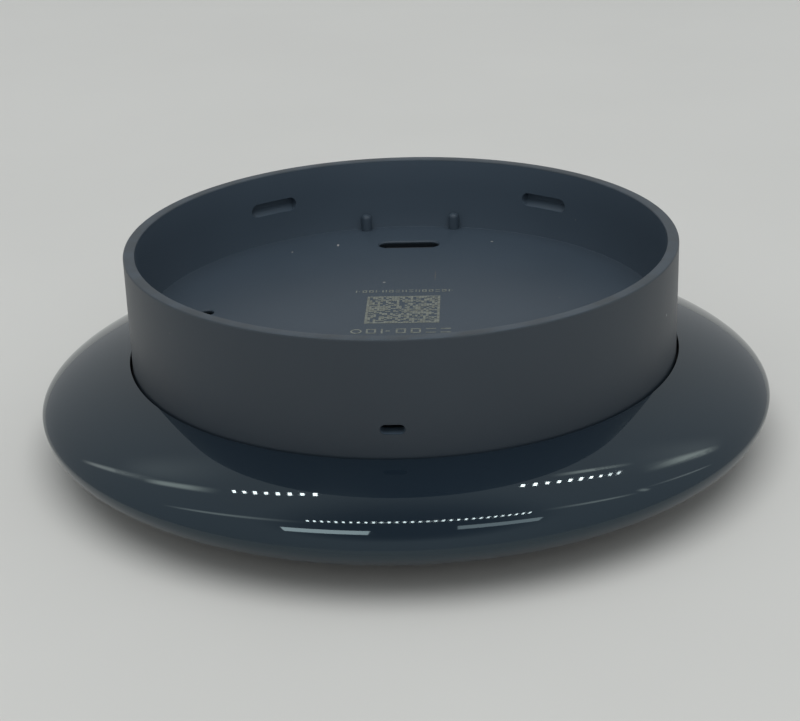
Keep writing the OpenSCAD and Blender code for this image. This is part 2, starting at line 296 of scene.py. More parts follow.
def first_point(name, place):
    """One vertex, ready in edit mode for an outline to be extruded from it."""
    nothing_selected()
    bpy.ops.mesh.primitive_plane_add(size=MM, location=place)
    piece = applied(started(name))
    opened("VERT")
    bpy.ops.mesh.merge(type="CENTER")
    return piece


def turned(name, line, steps=256, closed=True):
    """A turned piece: one vertex is extruded along the outline, then spun about the axis."""
    here = line[0]
    piece = first_point(name, (here[0], 0, here[1]))
    for r, z in line[1:] + ([line[0]] if closed else []):
        move = (r - here[0], 0, z - here[1])
        bpy.ops.mesh.extrude_vertices_move(TRANSFORM_OT_translate={"value": move})
        here = (r, z)
    bpy.ops.mesh.select_all(action="SELECT")
    bpy.ops.mesh.remove_doubles(threshold=MERGE)
    bpy.ops.mesh.spin(steps=steps, angle=2 * math.pi, center=(0, 0, 0), axis=(0, 0, 1))
    bpy.ops.mesh.select_all(action="SELECT")
    bpy.ops.mesh.remove_doubles(threshold=MERGE)
    closed_up()
    return piece


def pick(piece, test, kind="VERT"):
    """Selects the vertices or faces that pass a test, in edit mode."""
    bpy.ops.object.mode_set(mode="EDIT")
    bpy.ops.mesh.select_mode(type=kind)
    bpy.ops.mesh.select_all(action="DESELECT")
    bpy.ops.object.mode_set(mode="OBJECT")
    if kind == "VERT":
        for v in piece.data.vertices:
            v.select = test(v.co)
    else:
        for f in piece.data.polygons:
            f.select = test(f.center, f.normal)
    bpy.ops.object.mode_set(mode="EDIT")


def at_mouth(centre, normal):
    """Tells the face of a cutter that closes its mouth."""
    return normal.y < -0.9


def pill(name, width, height, depth, lip, flare):
    """A pill-shaped cutter along +Y from the origin, wider by the flare along the lip at its mouth."""
    sides, over = 40, 1 * MM
    # turned by half a side, so that no vertex stands on the middle line
    turn = (math.pi / 2, math.pi / sides, 0)
    nothing_selected()
    bpy.ops.mesh.primitive_cylinder_add(
        vertices=sides, radius=height / 2, depth=depth, location=(0, depth / 2, 0), rotation=turn
    )
    piece = applied(started(name))
    half = (width - height) / 2
    for side in (-1, 1):
        pick(piece, lambda c: c.x * side > 0)
        bpy.ops.transform.translate(value=(side * half, 0, 0))
    pick(piece, at_mouth, "FACE")
    bpy.ops.transform.translate(value=(0, lip, 0))
    drawn_out(0, -lip, 0)
    k = (height / 2 + flare) / (height / 2)
    for side in (-1, 1):
        pick(piece, lambda c: c.y < lip / 2 and c.x * side > 0)
        bpy.ops.transform.resize(value=(k, 1, k), center_override=(side * half, 0, 0))
    # the mouth is drawn out, so that the cutter passes through the surface
    pick(piece, at_mouth, "FACE")
    drawn_out(0, -over, 0)
    closed_up()
    return piece


def ramped(cutter, start, end):
    """Cuts a cutter's lower far corner off from start to end (y, z), so that it leaves a ramp."""
    y0, z0 = start
    y1, z1 = end
    slope = (0, z1 - z0, y0 - y1)
    only(cutter)
    opened("FACE")
    bpy.ops.mesh.bisect(
        plane_co=(0, y0, z0), plane_no=slope, use_fill=True, clear_outer=True, threshold=CUT
    )
    closed_up()


def placed(piece, location, rotation):
    """Turns and moves a tool or piece, and puts that in its mesh."""
    piece.rotation_euler = rotation
    piece.location = location
    return applied(piece)


def combined(piece, tool, operation):
    """Cuts a tool from a piece, or joins it, and removes the tool."""
    only(piece)
    m = piece.modifiers.new(operation.title(), "BOOLEAN")
    m.operation = operation
    m.object = tool
    m.solver = "EXACT"
    bpy.ops.object.modifier_apply(modifier=m.name)
    bpy.data.objects.remove(tool)
    return piece


def cut(piece, cutter, place, turn):
    """Cuts a slot or a well from a piece, with the cutter's mouth at a place."""
    combined(piece, placed(cutter, place, turn), "DIFFERENCE")


def smoothed(piece, angle=30):
    """Shades a piece smooth, with its edges sharper than the angle kept."""
    only(piece)
    bpy.ops.object.shade_smooth_by_angle(angle=math.radians(angle))
    return piece


def finished(piece, material, body, slot_name, *nodes):
    """Gives a piece its material and its body, and hides the CAD nodes that it stands for."""
    piece.data.materials.clear()
    piece.data.materials.append(material)
    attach(piece, body)
    if nodes:
        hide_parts(*nodes)
    return piece


# ---- shared effects


VECTOR, FLOAT, COLOR = "NodeSocketVector", "NodeSocketFloat", "NodeSocketColor"
VECTOR_IN = ("Vector", VECTOR, None)
GREY = (0.5, 0.5, 0.5, 1)


def new_group(name, inputs, outputs):
    """A shader node group, with the sockets that bring its inputs and take its outputs."""
    g = bpy.data.node_groups.new(name, "ShaderNodeTree")
    for label, kind, value in inputs:
        socket = g.interface.new_socket(name=label, in_out="INPUT", socket_type=kind)
        if value is not None:
            socket.default_value = value
    for label, kind in outputs:
        g.interface.new_socket(name=label, in_out="OUTPUT", socket_type=kind)
    return g, g.nodes.new("NodeGroupInput").outputs, g.nodes.new("NodeGroupOutput").inputs


def fed(tree, socket, value):
    """Sets an input to a number, or links it to an output."""
    if isinstance(value, (int, float)):
        socket.default_value = value
    else:
        tree.links.new(value, socket)


def math_node(tree, operation, a, b=None):
    n = tree.nodes.new("ShaderNodeMath")
    n.operation = operation
    fed(tree, n.inputs[0], a)
    if b is not None:
        fed(tree, n.inputs[1], b)
    return n.outputs[0]


def vector_node(tree, operation, a, b=None, scale=None):
    n = tree.nodes.new("ShaderNodeVectorMath")
    n.operation = operation
    tree.links.new(a, n.inputs[0])
    if b is not None:
        tree.links.new(b, n.inputs[1])
    if scale is not None:
        tree.links.new(scale, n.inputs["Scale"])
    return n.outputs["Value" if operation == "LENGTH" else "Vector"]


def along_axes(tree, vector):
    """The X, Y and Z of a vector, by name."""
    n = tree.nodes.new("ShaderNodeSeparateXYZ")
    tree.links.new(vector, n.inputs[0])
    return n.outputs


def noise_node(tree, vector, scale, detail=2.0, rough=0.5):
    n = tree.nodes.new("ShaderNodeTexNoise")
    tree.links.new(vector, n.inputs["Vector"])
    fed(tree, n.inputs["Scale"], scale)
    n.inputs["Detail"].default_value = detail
    n.inputs["Roughness"].default_value = rough
    return n.outputs["Fac"]


def ranged(tree, value, lo, hi, out_lo, out_hi):
    """A smooth step from one value to another as the input goes from lo to hi."""
    n = tree.nodes.new("ShaderNodeMapRange")
    n.interpolation_type = "SMOOTHSTEP"
    tree.links.new(value, n.inputs["Value"])
    for key, v in (("From Min", lo), ("From Max", hi), ("To Min", out_lo), ("To Max", out_hi)):
        fed(tree, n.inputs[key], v)
    return n.outputs["Result"]


def grain_group():
    """Fine moulded grain: a height for bump, and a roughness that follows it."""
    g, given, out = new_group(
        "Moulded Grain",
        [VECTOR_IN, ("Scale", FLOAT, 9000.0), ("Roughness", FLOAT, 0.5), ("Spread", FLOAT, 0.06)],
        [("Height", FLOAT), ("Roughness", FLOAT)],
    )
    fine = noise_node(g, given["Vector"], given["Scale"], 2.0, 0.6)
    coarse = noise_node(g, given["Vector"], math_node(g, "MULTIPLY", given["Scale"], 0.28), 1.0)
    height = math_node(g, "ADD", math_node(g, "MULTIPLY", fine, 0.7), math_node(g, "MULTIPLY", coarse, 0.3))
    g.links.new(height, out["Height"])
    wide = noise_node(g, given["Vector"], 55.0, 3.0)
    shift = math_node(g, "MULTIPLY", math_node(g, "SUBTRACT", wide, 0.5), given["Spread"])
    fine_shift = math_node(g, "MULTIPLY", math_node(g, "SUBTRACT", fine, 0.5), given["Spread"])
    both = math_node(g, "ADD", math_node(g, "MULTIPLY", shift, 2.0), fine_shift)
    g.links.new(math_node(g, "ADD", given["Roughness"], both), out["Roughness"])
    return g


def drift_group():
    """Slow change of tone over a surface."""
    g, given, out = new_group(
        "Tone Drift",
        [VECTOR_IN, ("Color", COLOR, GREY), ("Scale", FLOAT, 40.0), ("Amount", FLOAT, 0.08)],
        [("Color", COLOR)],
    )
    n = noise_node(g, given["Vector"], given["Scale"], 3.0)
    low = math_node(g, "SUBTRACT", 1.0, given["Amount"])
    high = math_node(g, "ADD", 1.0, given["Amount"])
    k = ranged(g, n, 0.3, 0.7, low, high)
    g.links.new(vector_node(g, "SCALE", given["Color"], scale=k), out["Color"])
    return g


def dust_group():
    """Sparse specks of dust, as a mask."""
    g, given, out = new_group(
        "Dust Specks",
        [VECTOR_IN, ("Scale", FLOAT, 420.0), ("Amount", FLOAT, 0.06)],
        [("Mask", FLOAT)],
    )
    v = g.nodes.new("ShaderNodeTexVoronoi")
    v.feature = "F1"
    g.links.new(given["Vector"], v.inputs["Vector"])
    g.links.new(given["Scale"], v.inputs["Scale"])
    sep = g.nodes.new("ShaderNodeSeparateColor")
    g.links.new(v.outputs["Color"], sep.inputs[0])
    chosen = math_node(g, "LESS_THAN", sep.outputs[0], given["Amount"])
    size = math_node(g, "MULTIPLY", sep.outputs[1], 0.16)
    near = math_node(g, "LESS_THAN", v.outputs["Distance"], size)
    g.links.new(math_node(g, "MULTIPLY", chosen, near), out["Mask"])
    return g


def smudge_group():
    """Polish marks and wiped smudges: a roughness and a fine height."""
    g, given, out = new_group(
        "Polish Marks",
        [VECTOR_IN, ("Roughness", FLOAT, 0.04), ("Smudge", FLOAT, 0.05)],
        [("Roughness", FLOAT), ("Height", FLOAT)],
    )
    wide = noise_node(g, given["Vector"], 38.0, 4.0, 0.62)
    mask = ranged(g, wide, 0.5, 0.72, 0.0, 1.0)
    streak = g.nodes.new("ShaderNodeMapping")
    streak.inputs["Scale"].default_value = (1.0, 1.0, 9.0)
    g.links.new(given["Vector"], streak.inputs["Vector"])
    fine = noise_node(g, streak.outputs["Vector"], 900.0, 2.0)
    both = math_node(g, "MULTIPLY", mask, given["Smudge"])
    hair = math_node(g, "MULTIPLY", math_node(g, "SUBTRACT", fine, 0.5), 0.012)
    rougher = math_node(g, "ADD", given["Roughness"], both)
    g.links.new(math_node(g, "ADD", rougher, hair), out["Roughness"])
    g.links.new(fine, out["Height"])
    return g


def spot_group():
    """One small spot or hair at a place: a soft mask, with its reach along X, Y and Z."""
    g, given, out = new_group(
        "Lint Spot",
        [VECTOR_IN, ("Place", VECTOR, None), ("Reach", VECTOR, None)],
        [("Mask", FLOAT)],
    )
    off = vector_node(g, "SUBTRACT", given["Vector"], given["Place"])
    away = vector_node(g, "LENGTH", vector_node(g, "DIVIDE", off, given["Reach"]))
    g.links.new(ranged(g, away, 0.4, 1.0, 1.0, 0.0), out["Mask"])
    return g


def rubbed_and_highlit_rim_group():
    """A mask over the last depth below a rim's height, broken up as rubbing does; it marks both rubbing and
    a painted highlight on the rim's top.
    """
    g, given, out = new_group(
        "Rubbed Rim and Painted Highlight",
        [VECTOR_IN, ("Rim Height", FLOAT, 0.0275), ("Depth", FLOAT, 0.0005)],
        [("Mask", FLOAT)],
    )
    height = along_axes(g, given["Vector"])["Z"]
    low = math_node(g, "SUBTRACT", given["Rim Height"], given["Depth"])
    edge = ranged(g, height, low, given["Rim Height"], 0.0, 1.0)
    n = noise_node(g, given["Vector"], 260.0, 3.0)
    g.links.new(math_node(g, "MULTIPLY", edge, ranged(g, n, 0.35, 0.65, 0.45, 1.0)), out["Mask"])
    return g


def painted_inside_light_group():
    """A cup's colour, made lighter on its floor and its inner wall as painted light, and darker down in the
    floor's slots as painted shade.
    """
    g, given, out = new_group(
        "Painted Inside Light and Slot Shade",
        [VECTOR_IN, ("Color", COLOR, GREY),
         ("Floor Radius", FLOAT, 0.034), ("Wall Radius", FLOAT, 0.036),
         ("Floor Share", FLOAT, 1.3), ("Wall Share", FLOAT, 1.8),
         ("Floor Height", FLOAT, 0.0174), ("Slot Share", FLOAT, 0.3)],
        [("Color", COLOR)],
    )
    place = along_axes(g, given["Vector"])
    squares = [math_node(g, "MULTIPLY", place[axis], place[axis]) for axis in ("X", "Y")]
    radius = math_node(g, "SQRT", math_node(g, "ADD", *squares))
    on_wall = math_node(g, "GREATER_THAN", radius, given["Floor Radius"])
    outside = math_node(g, "GREATER_THAN", radius, given["Wall Radius"])
    deep = math_node(g, "SUBTRACT", given["Floor Height"], place["Z"])
    # painted shade: below the floor's height the colour ramps down to the slot share, darker down in the
    # slots
    on_floor = ranged(g, deep, 0.1 * MM, 0.5 * MM, given["Floor Share"], given["Slot Share"])
    step = math_node(g, "SUBTRACT", given["Wall Share"], on_floor)
    inner = math_node(g, "ADD", on_floor, math_node(g, "MULTIPLY", on_wall, step))
    back = math_node(g, "MULTIPLY", outside, math_node(g, "SUBTRACT", 1.0, inner))
    # painted light: the colour is made lighter on the floor and on the inner wall, and left as it is
    # outside the cup
    painted_light_and_shade = vector_node(g, "SCALE", given["Color"], scale=math_node(g, "ADD", inner, back))
    g.links.new(painted_light_and_shade, out["Color"])
    return g


EFFECTS = {
    "grain": grain_group,
    "drift": drift_group,
    "dust": dust_group,
    "polish": smudge_group,
    "spot": spot_group,
    # the rim's rubbing, partly a painted highlight
    "rim_wear_and_highlight": rubbed_and_highlit_rim_group,
    # painted light inside the cup and painted shade in its slots
    "inside": painted_inside_light_group,
}
BUILT = {}


def base_material(name):
    """A new material, with its tree, its shader and its Object coordinates."""
    m = bpy.data.materials.new(name)
    m.use_nodes = True
    tree = m.node_tree
    shader = tree.nodes["Principled BSDF"]
    coord = tree.nodes.new("ShaderNodeTexCoord")
    return m, tree, shader, coord.outputs["Object"]


def placed_group(tree, effect, vector, **values):
    """A shared effect with a material's own values, built when it is first asked for."""
    if effect not in BUILT:
        BUILT[effect] = EFFECTS[effect]()
    n = tree.nodes.new("ShaderNodeGroup")
    n.node_tree = BUILT[effect]
    tree.links.new(vector, n.inputs["Vector"])
    for key, v in values.items():
        n.inputs[key.replace("_", " ")].default_value = v
    return n


def surfaced(tree, shader, colour, effect, strength, distance):
    """Feeds a shader its colour, and the roughness and the bump of a grain or polish group."""
    tree.links.new(colour, shader.inputs["Base Color"])
    tree.links.new(effect.outputs["Roughness"], shader.inputs["Roughness"])
    b = tree.nodes.new("ShaderNodeBump")
    b.inputs["Strength"].default_value = strength
    b.inputs["Distance"].default_value = distance
    tree.links.new(effect.outputs["Height"], b.inputs["Height"])
    tree.links.new(b.outputs["Normal"], shader.inputs["Normal"])


def moulded(name, colour, roughness, scale, depth, drift, metallic=0.0, spread=0.06):
    """A moulded or cast finish with grain, tone drift and roughness drift."""
    m, tree, shader, vector = base_material(name)
    grain = placed_group(tree, "grain", vector, Scale=scale, Roughness=roughness, Spread=spread)
    tone = placed_group(tree, "drift", vector, Color=(*colour, 1.0), Amount=drift)
    shader.inputs["Metallic"].default_value = metallic
    surfaced(tree, shader, tone.outputs["Color"], grain, depth, 0.03 * MM)
    return m


def mixed(tree, mask, under, over):
    """The colour under, and where the mask is 1 the plain colour over."""
    mix = tree.nodes.new("ShaderNodeMix")
    mix.data_type = "RGBA"
    tree.links.new(mask, mix.inputs["Factor"])
    tree.links.new(under, mix.inputs["A"])
    mix.inputs["B"].default_value = over
    return mix.outputs["Result"]


# lint on the cup's floor: its place along X and Y and its reach along X and Y in mm, and its tone
LINT_SPOTS = (
    (-16.9, 23.7, 0.16, 0.45, 0.20),
    (-10.4, 26.4, 0.22, 0.60, 0.30),
    (4.1, 12.9, 0.09, 2.6, 0.10),
    (21.0, 3.5, 0.14, 0.3, 0.12),
)


def cup_plastic(s):
    """Matte slate plastic of the cup, with its rim worn by rubbing and painted with a highlight, a little
    dust, painted light on its inner floor and wall, and painted shade down in its floor's slots.
    """
    m, tree, shader, vector = base_material("Slate Plastic")
    grain = placed_group(tree, "grain", vector, Scale=7000.0, Roughness=0.42, Spread=0.05)
    tone = placed_group(tree, "drift", vector, Color=(*s.colour, 1.0), Scale=34.0, Amount=0.05)
    rim_wear_and_highlight = placed_group(tree, "rim_wear_and_highlight", vector, Rim_Height=s.rim_z, Depth=0.35 * MM)
    dust = placed_group(tree, "dust", vector, Scale=330.0, Amount=0.035)
    # painted light on the inner floor and wall, painted shade down in the floor's slots
    painted_light_and_shade = placed_group(
        tree, "inside", vector, Floor_Share=1.8, Wall_Share=2.2, Floor_Height=s.floor_z,
        Floor_Radius=s.radius - s.wall - 0.3 * MM, Wall_Radius=s.radius - 0.1 * MM,
    )
    tree.links.new(tone.outputs["Color"], painted_light_and_shade.inputs["Color"])
    red, green, blue = s.colour
    # painted highlight: the rim is painted lighter and less blue, partly for rubbing and partly as a
    # highlight on its top
    rubbed_and_highlit = (red * 1.6, green * 1.45, blue * 1.3, 1)
    dusty = (0.20, 0.21, 0.21, 1)
    last = mixed(tree, rim_wear_and_highlight.outputs["Mask"], painted_light_and_shade.outputs["Color"], rubbed_and_highlit)
    last = mixed(tree, dust.outputs["Mask"], last, dusty)
    for x, y, reach_x, reach_y, shade in LINT_SPOTS:
        place = (x * MM, y * MM, s.floor_z)
        reach = (reach_x * MM, reach_y * MM, 0.4 * MM)
        spot = placed_group(tree, "spot", vector, Place=place, Reach=reach)
        last = mixed(tree, spot.outputs["Mask"], last, (shade, shade, shade, 1))
    shader.inputs["Specular IOR Level"].default_value = 0.50
    surfaced(tree, shader, last, grain, s.grain, 0.04 * MM)
    return m


def polished_ring(s):
    """Mirror gloss over a near-black body, with faint smudges."""
    m, tree, shader, vector = base_material("Black Gloss")
    marks = placed_group(tree, "polish", vector, Roughness=0.02, Smudge=0.035)
    tone = placed_group(tree, "drift", vector, Color=(*s.colour, 1.0), Scale=22.0, Amount=0.06)
    shader.inputs["IOR"].default_value = 1.58
    shader.inputs["Specular Tint"].default_value = (0.75, 0.93, 0.98, 1.0)
    surfaced(tree, shader, tone.outputs["Color"], marks, 0.02, 0.004 * MM)
    return m


def dark_lens():
    """Dark polished glass over the unlit display."""
    m, tree, shader, vector = base_material("Dark Lens")
    marks = placed_group(tree, "polish", vector, Roughness=0.03, Smudge=0.08)
    glass = (0.010, 0.012, 0.015, 1.0)
    tone = placed_group(tree, "drift", vector, Color=glass, Scale=25.0, Amount=0.1)
    surfaced(tree, shader, tone.outputs["Color"], marks, 0.02, 0.01 * MM)
    return m


def ink_material(s):
    """Pale grey ink, printed a little unevenly."""
    m, tree, shader, vector = base_material("Pale Ink")
    grain = placed_group(tree, "grain", vector, Scale=14000.0, Roughness=0.6, Spread=0.1)
    tone = placed_group(tree, "drift", vector, Color=(*s.colour, 1.0), Scale=1500.0, Amount=0.22)
    surfaced(tree, shader, tone.outputs["Color"], grain, 0.3, 0.02 * MM)
    return m


def table_material(s):
    """Plain pale laminate, a little uneven."""
    m, tree, shader, vector = base_material("Plain Table")
    grain = placed_group(tree, "grain", vector, Scale=2600.0, Roughness=0.72, Spread=0.05)
    tone = placed_group(tree, "drift", vector, Color=(*s.table, 1.0), Scale=14.0, Amount=0.012)
    surfaced(tree, shader, tone.outputs["Color"], grain, 0.12, 0.04 * MM)
    return m


# ---- operators


class PIECE_OT_control_ring(bpy.types.Operator):
    """Builds the polished control ring"""

    bl_idname = "controller.control_ring"
    bl_label = "Control Ring"

    def execute(self, context):
        s = context.scene.ring_settings
        low, top = curves(s)
        seam, hole = curve_angle(s, low, s.seam_radius), curve_angle(s, top, s.hole_radius)
        low_steps, top_steps = 30, 56
        outer = [curve_point(s, low, seam * (1 - i / low_steps)) for i in range(low_steps + 1)]
        outer += [curve_point(s, top, hole * i / top_steps) for i in range(1, top_steps + 1)]
        inner = []
        for i, (r, z) in enumerate(moved_in(outer, s.skin)):
            inner.append((max(r, s.seam_radius if i < low_steps else s.hole_radius), z))
        ring = turned("control_ring_skin", outer + inner[-2:1:-2], steps=288)
        smoothed(ring, 40)
        finished(ring, polished_ring(s), "ring", "polished_ring", "control_ring")
        return {"FINISHED"}


class PIECE_OT_front_lens(bpy.types.Operator):
    """Builds the domed lens of the face"""

    bl_idname = "controller.front_lens"
    bl_label = "Front Lens"

    def execute(self, context):
        s = context.scene.ring_settings
        lens = context.scene.lens_settings
        low, steps = curves(s)[0], 40
        end = curve_angle(s, low, lens.radius)
        dome = [(0.0, 0.0)] + [curve_point(s, low, 90 + (end - 90) * i / steps) for i in range(steps + 1)]
        top = LENS_BOX[1].z
        inner_r, bed_r, bed_z = 40.0 * MM, 36.5 * MM, 2.0 * MM
        line = dome + [(lens.radius, top), (inner_r, top), (bed_r, bed_z), (0.0, bed_z)]
        piece = turned("lens_glass", line, steps=192, closed=False)
        smoothed(piece, 30)
        finished(piece, dark_lens(), "face", "dark_glass", "front_lens")
        return {"FINISHED"}


class PIECE_OT_rear_cup(bpy.types.Operator):
    """Builds the open rear cup with its ribs, pockets and slots"""

    bl_idname = "controller.rear_cup"
    bl_label = "Rear Cup"

    def execute(self, context):
        s = context.scene.cup_settings
        r, ri, top, floor = s.radius, s.radius - s.wall, s.rim_z, s.floor_z
        low_floor = floor - 1.8 * MM
        foot_r, foot_z, foot_top = 38.4 * MM, 8.0 * MM, 8.8 * MM
        rim_out, rim_in = 0.25 * MM, 0.2 * MM
        root, lean = 0.03 * MM, 0.25 * MM
        line = [(0.0, low_floor), (ri, low_floor), (ri, foot_z)]
        line += [(foot_r, foot_z), (foot_r, foot_top), (r, foot_top)]
        line += [(r, foot_top + (top - foot_top - 0.4 * MM) * i / 4) for i in range(1, 4)]
        line += corner(r - rim_out, top - rim_out, rim_out, 0, 90, 6)
        line += corner(ri + rim_in, top - rim_in, rim_in, 90, 180, 6)
        line += [(ri, floor + 6 * MM), (ri, floor + 2.5 * MM)]
        line += corner(ri - lean - root, floor + root, root, 0, -90, 4)
        line += [(20 * MM, floor), (0.0, floor)]
        cup = turned("cup_shell", line, steps=256, closed=False)
        self.ribs(cup, ri, floor)
        self.pockets(cup, ri, top)
        self.floor_slots(cup, floor)
        vent = pill("vent", 2.83 * MM, 1.07 * MM, 3.0 * MM, lip=0.2 * MM, flare=0.1 * MM)
        cut(cup, vent, (0, -r, floor - 0.85 * MM), (0, 0, 0))
        smoothed(cup, 28)
        finished(cup, cup_plastic(s), "rear", "cup_plastic", "rear_cup")
        return {"FINISHED"}

    def ribs(self, cup, ri, floor):
        """Two round-topped guide ribs on the inner wall, astride twelve o'clock."""
        rib_r, rib_h, in_from_wall, bedded = 0.75 * MM, 2.6 * MM, 0.9 * MM, 0.2 * MM
        for a in (-11.1, 11.1):
            middle = (0, ri - in_from_wall, floor + rib_h / 2 - bedded)
            nothing_selected()
            bpy.ops.mesh.primitive_cylinder_add(vertices=40, radius=rib_r, depth=rib_h, location=middle)
            rib = applied(started("rib"))
            pick(rib, lambda c, n: n.z > 0.9, "FACE")
            bpy.ops.mesh.bevel(offset=0.6 * MM, segments=6, affect="EDGES")
            bpy.ops.object.mode_set(mode="OBJECT")
            placed(rib, (0, 0, 0), (0, 0, math.radians(a)))
            combined(cup, rib, "UNION")

    def pockets(self, cup, ri, top):
        """Four catch pockets in the inner wall, each with a ramp that rises to its back."""
        angle, drop, before_wall = 34.8, 5.05 * MM, 0.2 * MM
        for a in (-angle, angle, 180 - angle, 180 + angle):
            pocket = pill("pocket", 7.3 * MM, 1.95 * MM, 1.3 * MM, lip=0.2 * MM, flare=0.05 * MM)
            # the ramp starts behind the lip, so that it doesn't cut the lip's edge
            ramped(pocket, (0.35 * MM, -0.92 * MM), (1.1 * MM, -0.15 * MM))
            turn = Matrix.Rotation(math.radians(a), 4, "Z")
            cut(cup, pocket, turn @ Vector((0, ri - before_wall, top - drop)), (0, 0, math.radians(a)))

    def floor_slots(self, cup, floor):
        """The port slot and the three screw wells, all as far from the middle."""
        out, down = 26.3 * MM, (-math.pi / 2, 0, 0)
        port = pill("port", 8.8 * MM, 2.9 * MM, 6 * MM, lip=0.2 * MM, flare=0.15 * MM)
        cut(cup, port, (0, out, floor), down)
        for a in (0, -90, 180):
            well = pill("well", 1.9 * MM, 1.9 * MM, 2.5 * MM, lip=0.12 * MM, flare=0.1 * MM)
            cut(cup, well, Matrix.Rotation(math.radians(a), 4, "Z") @ Vector((out, 0, floor)), down)


def thickened(piece, by):
    """Gives a flat piece a closed thickness."""
    only(piece)
    opened("FACE")
    drawn_out(0, 0, by)
    closed_up()
    return piece


def bar(x, y, width, height, z):
    """A flat printed bar, x and y at its middle."""
    nothing_selected()
    bpy.ops.mesh.primitive_plane_add(size=1.0, location=(x, y, z))
    piece = started("bar")
    piece.scale = (width, height, 1)
    return applied(piece)


def joined(pieces, name):
    """Joins pieces into the first of them."""
    nothing_selected()
    for p in pieces:
        p.select_set(True)
    bpy.context.view_layer.objects.active = pieces[0]
    bpy.ops.object.join()
    return started(name)


def mark(kind, x, y, width, height, stroke, z):
    """One generic mark of plain bars: two posts, two lines, a box, or a post and a dash."""
    dx, dy = (width - stroke) / 2, (height - stroke) / 2
    low = height - 2.6 * stroke
    bars = {
        0: ((-dx, 0, stroke, height), (dx, 0, stroke, height)),
        1: ((0, dy, width, stroke), (0, -dy, width, stroke)),
        2: ((-dx, 0, stroke, low), (dx, 0, stroke, low), (0, dy, width, stroke), (0, -dy, width, stroke)),
        3: ((-dx, 0, stroke, height), (stroke, 0, width - 3 * stroke, stroke)),
    }[kind]
    return [bar(x + bx, y + by, bw, bh, z) for bx, by, bw, bh in bars]


class PIECE_OT_floor_print(bpy.types.Operator):
    """Prints plain generic marks on the cup's floor"""

    bl_idname = "controller.floor_print"
    bl_label = "Floor Print"

    def execute(self, context):
        s = context.scene.print_settings
        cup = context.scene.cup_settings
        ink = ink_material(s)
        clear = 0.005 * MM
        z = cup.floor_z + clear
        self.square(s, z, ink)
        self.row("print_far_row", s.far_row, 15, 0.16 * MM, z, s.ink, ink, 5, False)
        self.row("print_near_row", s.near_row, 7, 0.24 * MM, z, s.ink, ink, 9, True)
        return {"FINISHED"}

    def square(self, s, z, ink):
        """A framed square of cells, kept or dropped at random."""
        draw = random.Random(41)
        nothing_selected()
        bpy.ops.mesh.primitive_grid_add(
            x_subdivisions=s.cells, y_subdivisions=s.cells, size=s.side, location=(0, 0, z)
        )
        square = applied(started("print_square"))
        cell = s.side / s.cells
        edge = s.side / 2 - cell
        share, gap = 0.64, cell * 0.04

        def dropped(centre, normal):
            kept = draw.random() < share
            return not kept and max(abs(centre.x), abs(centre.y)) <= edge

        pick(square, dropped, "FACE")
        bpy.ops.mesh.delete(type="FACE")
        bpy.ops.mesh.select_all(action="SELECT")
        bpy.ops.mesh.inset(thickness=gap, use_individual=True)
        bpy.ops.mesh.select_all(action="INVERT")
        bpy.ops.mesh.delete(type="FACE")
        bpy.ops.object.mode_set(mode="OBJECT")
        finished(thickened(square, s.ink), ink, "rear", "cup_plastic")

    def row(self, name, place, count, stroke, z, thick, ink, seed, ring_first):
        """A row of generic marks, the first a plain ring if asked."""
        y, width, height = place
        draw = random.Random(seed)
        pitch = width / count
        bars = []
        for i in range(count):
            x = -width / 2 + pitch * (i + 0.5)
            if i == 0 and ring_first:
                nothing_selected()
                bpy.ops.mesh.primitive_circle_add(
                    vertices=32, radius=height / 2, fill_type="NGON", location=(x, y, z)
                )
                disc = applied(started("ring_mark"))
                opened("FACE")
                bpy.ops.mesh.inset(thickness=stroke)
                bpy.ops.mesh.delete(type="FACE")
                bpy.ops.object.mode_set(mode="OBJECT")
                bars.append(disc)
            else:
                bars += mark(draw.choice((0, 1, 2, 2, 3)), x, y, pitch * 0.68, height, stroke, z)
        finished(thickened(joined(bars, name), thick), ink, "rear", "cup_plastic")


# finishes of the carried-over pieces: slot, name, colour, roughness, scale and depth of the grain,
# tone drift, and 1.0 on a metal
INNER_LOOKS = (
    ("light_metal", "Cast Metal", (0.55, 0.56, 0.57), 0.42, 5000, 0.3, 0.05, 1.0),
    ("circuit_board", "Solder Mask", (0.02, 0.10, 0.055), 0.32, 2500, 0.2, 0.15),
    ("sheet_steel", "Sheet Steel", (0.58, 0.59, 0.60), 0.3, 3200, 0.15, 0.04, 1.0),
    ("chip_plastic", "Chip Plastic", (0.022, 0.022, 0.024), 0.5, 8000, 0.4, 0.1),
    ("battery_foil", "Battery Foil", (0.62, 0.63, 0.64), 0.38, 900, 0.3, 0.05, 1.0),
    ("screw_steel", "Dark Screw Steel", (0.16, 0.165, 0.175), 0.35, 6000, 0.2, 0.08, 1.0),
    ("felt", "Felt", (0.03, 0.03, 0.032), 0.95, 4200, 1.0, 0.2),
    ("connector_plastic", "Connector Plastic", (0.60, 0.57, 0.48), 0.45, 7000, 0.25, 0.05),
    ("soft_rubber", "Soft Rubber", (0.035, 0.037, 0.04), 0.75, 6000, 0.4, 0.08),
    ("flex_film", "Amber Film", (0.38, 0.16, 0.03), 0.25, 1800, 0.1, 0.1),
    ("display_stack", "Display Stack", (0.012, 0.012, 0.018), 0.15, 2500, 0.05, 0.1),
    ("frame_plastic", "Frame Plastic", (0.035, 0.035, 0.038), 0.5, 7000, 0.35, 0.08),
    ("glide_plastic", "Glide Plastic", (0.72, 0.72, 0.68), 0.3, 5000, 0.15, 0.04),
)


